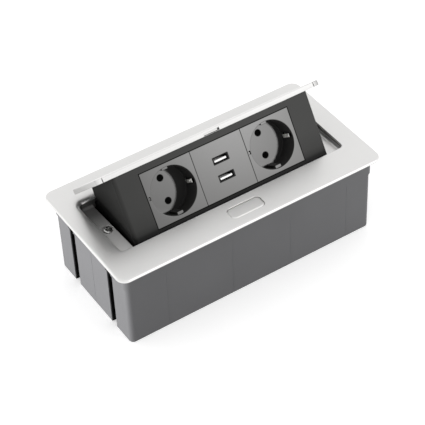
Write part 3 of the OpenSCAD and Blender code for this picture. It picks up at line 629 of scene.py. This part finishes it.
def clip():
    """The two sprung legs of an earth contact, as bent strips, and their bridge behind the well."""
    path = [
        (19.9, -32.0), (19.9, -17.4), (19.3, -16), (18.0, -13.5), (17.4, -11.7), (17.3, -10.2), (17.6, -8.8),
        (18.3, -7.0), (18.9, -5.9), (19.3, -5.4),
    ]
    half_strip, half_width = 0.38, 1.5
    parts = []
    for s in (-1, 1):
        loops = []
        for k, (u, w) in enumerate(path):
            a, b = path[max(k - 1, 0)], path[min(k + 1, len(path) - 1)]
            n = Vector((b[1] - a[1], a[0] - b[0])).normalized() * half_strip
            front = [(s * (u + n[0]), v, w + n[1]) for v in (-half_width, half_width)]
            back = [(s * (u - n[0]), v, w - n[1]) for v in (half_width, -half_width)]
            loops.append(front + back)
        parts.append(bevelled(loft(loops), 0.1))
    parts.append(bevelled(block((-20.2, 20.2), (-1.9, 1.9), (-32.4, -31.6)), 0.1))
    return combine(parts[0], parts[1:], "UNION")


for side, word in ((-1, "left"), (1, "right")):
    at = FACE @ Matrix.Translation((side * SOCKET_U, 0, 0))
    piece("socket_" + word, socket(), at, PLATE, "pop_up_module", ("socket_insert_" + word,))
    # The shutters are real discs deep in the pin holes, and their near-black colour is painted shade.
    shutters = joined(*[lathe([(2.7, -20.2), (2.7, -18.8), (2.5, -18.65)], 32, 0, v) for v in PIN_V])
    piece("shutters_" + word, shutters, at, PIT_PAINTED_SHADE, "pop_up_module")
    cad_clip = "earth_clip_" + word
    piece("earth_contact_" + word, clip(), at, NICKEL, "pop_up_module", (cad_clip,))

# ---- USB ----
USB_V = (-7.25, 7.25)


def port_loop(x, y, v, r, z):
    return rounded((-x, x), (v - y, v + y), r, z, 4)


def usb_plate_loop(i, z):
    x, y = USB_HALF - i, PLATE_HALF - i
    return rounded((-x, x), (-y, y), 0.3, z, 3)


plate_levels = ((0, -2.4), (0, -0.25), (0.06, -0.1), (0.2, -0.02), (0.4, 0))
plate = loft([usb_plate_loop(*level) for level in plate_levels])
ports, shells, tongues = [], [], []
for v in USB_V:
    ports.append(loft([
        port_loop(7.2 + gap, 2.95 + gap, v, 0.35 + gap, z)
        for gap, z in ((0, -4), (0, -0.12), (0.14, 0.02), (0.14, 1))
    ]))
    outer = loft([port_loop(7.05, 2.8, v, 0.4, z) for z in (-14.1, -0.5, -0.4)])
    mouth = loft([port_loop(6.35, 2.35, v, 0.25, z) for z in (-13.5, 2)])
    shells.append(combine(outer, [mouth]))
    tongues.append(bevelled(block((-5.4, 5.4), (v - 1.45, v + 0.15), (-13.5, -1.2)), 0.2, 3))
piece("usb_face", combine(plate, ports), FACE, PLATE, "pop_up_module", ("usb_plate",))
piece("usb_sockets", joined(*shells), FACE, BLACK, "pop_up_module", ("usb_shells",))
piece("usb_inserts", joined(*tongues), FACE, WHITE, "pop_up_module", ("usb_tongues",))

# ---- Casing ----
CASE_L, CASE_W, CASE_R, CASE_WALL = 229.0, 108.0, 4.0, 2.5
SLOT_Y, SLOT_W = 28.3, 7.6


def case_loop(grow, z, edge=0.0):
    x, y = CASE_L / 2 + grow - edge, CASE_W / 2 + grow - edge
    return rounded((-x, x), (-y, y), max(CASE_R + grow - edge, 0.6), z, 10, (4, 8))


casing = loft([case_loop(*level) for level in (
    (-CASE_WALL, -72.2), (-CASE_WALL, -72.5), (0, -72.5, 0.5), (0, -72.42, 0.25), (0, -72.2, 0.06),
    (0, -71.9), (0, -16.1), (0.15, -15.7), (0.7, -15.45), (1.0, -15.2), (1.0, -0.02), (-CASE_WALL, -0.02),
)], ring=True)
cuts = [
    block(sorted((s * 100, s * 120)), (t * SLOT_Y - SLOT_W / 2, t * SLOT_Y + SLOT_W / 2), (-80, 5))
    for s in (-1, 1) for t in (-1, 1)
]
cuts.append(block((-18, 18), (-CASE_W / 2 + CASE_WALL - 0.6, 0), (-6, 1)))  # room for the latch's guide
to_inlet = Matrix.Translation((70, CASE_W / 2, -54)) @ Matrix.Rotation(-math.pi / 2, 4, "X")
cuts.append(moved(lathe([(7, -4), (7, 1)], 48), to_inlet))
casing = combine(casing, cuts)
SEAM_PROUD, SEAM_HALF, SEAM_Z = 0.08, 0.5, (-71, -15.8)
front = (-CASE_W / 2 - SEAM_PROUD, -CASE_W / 2 + 0.5)
seams = [block((x - SEAM_HALF, x + SEAM_HALF), front, SEAM_Z) for x in (-79, -19, 36, 91)]
seams += [
    block(sorted((s * 114, s * (CASE_L / 2 + SEAM_PROUD))), (-SEAM_HALF, SEAM_HALF), SEAM_Z) for s in (-1, 1)
]
casing = combine(casing, seams, "UNION")
cad_walls = ("casing_front", "casing_rear", "casing_ends")
piece("casing_shell", casing, FIXED, CASING, "housing", cad_walls)

# ---- The other pieces: CAD shapes, with rounded edges except on the two toothed ones ----
for node, material, slot, width in (
    ("casing_posts", CASING, "casing_plastic", 0.2),
    ("hinge_brackets", CASING, "casing_plastic", 0.2),
    ("damper_mount", CASING, "casing_plastic", 0.2),
    ("bottom_cover", CASING, "casing_plastic", 0.25),
    # The clamp channels' near-black is painted shade for the end slots.
    ("clamp_channels", PIT_PAINTED_SHADE, "black_plastic", 0.12),
    ("latch_guide", BLACK, "black_plastic", 0.2),
    ("latch_bolt", BLACK, "black_plastic", 0.12),
    ("rear_cover", CHARCOAL, "module_plastic", 0.2),
    ("damper_body", BLACK, "black_plastic", 0.25),
    ("damper_pinion", ACETAL, "acetal", 0.0),
    ("damper_sector", ACETAL, "acetal", 0.0),
    ("rim_seal", RUBBER, "rubber", 0.1),
    ("cable_grommet", RUBBER, "rubber", 0.3),
    ("lead_grommet", RUBBER, "rubber", 0.3),
    ("stop_pads", RUBBER, "rubber", 0.4),
    ("hinge_pins", ZINC, "zinc_steel", 0.25),
    ("hinge_bushes", BRONZE, "bronze", 0.12),
    ("cover_screws", ZINC, "zinc_steel", 0.1),
    ("guide_screws", ZINC, "zinc_steel", 0.1),
    ("damper_screws", ZINC, "zinc_steel", 0.1),
    ("lid_screws", ZINC, "zinc_steel", 0.1),
    ("rear_cover_screws", ZINC, "zinc_steel", 0.1),
    ("sector_screws", ZINC, "zinc_steel", 0.1),
    ("terminal_screws", ZINC, "zinc_steel", 0.1),
    ("line_busbar", BRASS, "brass", 0.1),
    ("neutral_busbar", BRASS, "brass", 0.1),
    ("earth_busbar", BRASS, "brass", 0.1),
    ("terminal_block", CREAM, "cream_plastic", 0.3),
    ("usb_housing", BLACK, "black_plastic", 0.3),
    ("usb_board", BOARD, "board", 0.1),
    ("usb_transformer", TAPE, "winding_tape", 0.6),
    ("usb_capacitor", SLEEVE, "capacitor_sleeve", 0.5),
):
    refined(node, material, width)
for node in ("hinge_spring", "button_springs", "bolt_spring"):
    data = frame["nodes"][node].data
    data.materials.clear()
    data.materials.append(SPRING)
    data.shade_smooth()

# ---- Floor, light and camera ----
FLOOR = 6  # half side, in metres
floor_mesh = bpy.data.meshes.new("floor")
corners = [(x * FLOOR, y * FLOOR, 0) for x, y in ((-1, -1), (1, -1), (1, 1), (-1, 1))]
floor_mesh.from_pydata(corners, [], [(0, 1, 2, 3)])
floor = bpy.data.objects.new("floor", floor_mesh)
floor_paint = shader("floor_white", (0.9, 0.9, 0.9), 0.9, tint=0.003, specular=0.1)
glow = floor_paint.node_tree.nodes["Principled BSDF"]
glow.inputs["Emission Color"].default_value = (1, 1, 1, 1)
glow.inputs["Emission Strength"].default_value = 0.4
floor_mesh.materials.append(floor_paint)
bpy.context.scene.collection.objects.link(floor)

world = bpy.data.worlds.new("studio")
bpy.context.scene.world = world
world.use_nodes = True
background = world.node_tree.nodes["Background"]
background.inputs["Color"].default_value = (1, 1, 1, 1)
background.inputs["Strength"].default_value = 0.92


def only_lights(light, names):
    """Limits a light to the pieces that are named."""
    group = bpy.data.collections.new(light.name + "_lit")
    for name in names:
        group.objects.link(bpy.data.objects[name])
    light.light_linking.receiver_collection = group


def lamp(name, kind, place, aim, power, size, lights):
    """A sun, whose size is an angle in degrees, or a rectangle in metres, that lights the named pieces."""
    light = bpy.data.lights.new(name, kind)
    light.energy = power
    if kind == "SUN":
        light.angle = math.radians(size)
    else:
        light.shape, light.size, light.size_y = "RECTANGLE", size[0], size[1]
    o = bpy.data.objects.new(name, light)
    bpy.context.scene.collection.objects.link(o)
    o.location = place
    o.rotation_euler = (Vector(aim) - Vector(place)).to_track_quat("-Z", "Y").to_euler()
    only_lights(o, lights)


face_centre = FACE.translation * MM
key_place = face_centre + Vector((0.16, -0.288, 0.165))
OVER_LID = (0.53, -0.55, 0.64)  # where two of the suns stand
SUN_AIM = (0, 0, 0)
FACE_PIECES = ["socket_left", "socket_right", "usb_face", "earth_contact_left", "earth_contact_right"]
EDGE_PIECES = ["rim", "release_cap"]
lamp("key", "AREA", key_place, face_centre, 7.3, (0.035, 0.035), FACE_PIECES)
lamp("shell_key", "AREA", key_place, face_centre, 1.05, (0.03, 0.03), ["module_shell"])
lamp("soft_key", "SUN", OVER_LID, SUN_AIM, 0.08, 10, ["lid_skin"])
lamp("usb_key", "SUN", OVER_LID, SUN_AIM, 1.4, 10, ["usb_inserts", "usb_sockets"])
lamp("left_card", "AREA", (-1.0, 0.1, 0.10), (0, 0, 0.04), 42, (0.8, 0.5), ["casing_shell"])
lamp("right_card", "AREA", (0.40, -0.42, 0.08), (0.13, -0.05, 0.04), 1.9, (0.2, 0.15), ["casing_shell"])
lamp("ledge_lamp", "AREA", (-0.13, -0.09, 0.20), (-0.10, -0.03, 0.07), 0.042, (0.03, 0.03), ["ledge_left"])
lamp("front_edge", "SUN", (0.38, -0.68, 0.5), SUN_AIM, 0.6, 25, EDGE_PIECES)
lamp("left_edge", "SUN", (-0.66, 0.55, 0.36), SUN_AIM, 0.15, 25, EDGE_PIECES)

camera = bpy.data.cameras.new("camera")
camera.sensor_width = 36
camera.lens = 136.03
camera.clip_start, camera.clip_end = 0.05, 20
eye = bpy.data.objects.new("camera", camera)
bpy.context.scene.collection.objects.link(eye)
EYE = Vector((-0.49609, -0.80213, 0.91699))
EYE_TURN = Euler([math.radians(a) for a in (46.8906, 2.0285, -33.4965)])  # tilt, roll and heading
eye.matrix_world = Matrix.LocRotScale(EYE, EYE_TURN, None)
bpy.context.scene.camera = eye
bpy.context.scene.view_settings.view_transform = "Standard"
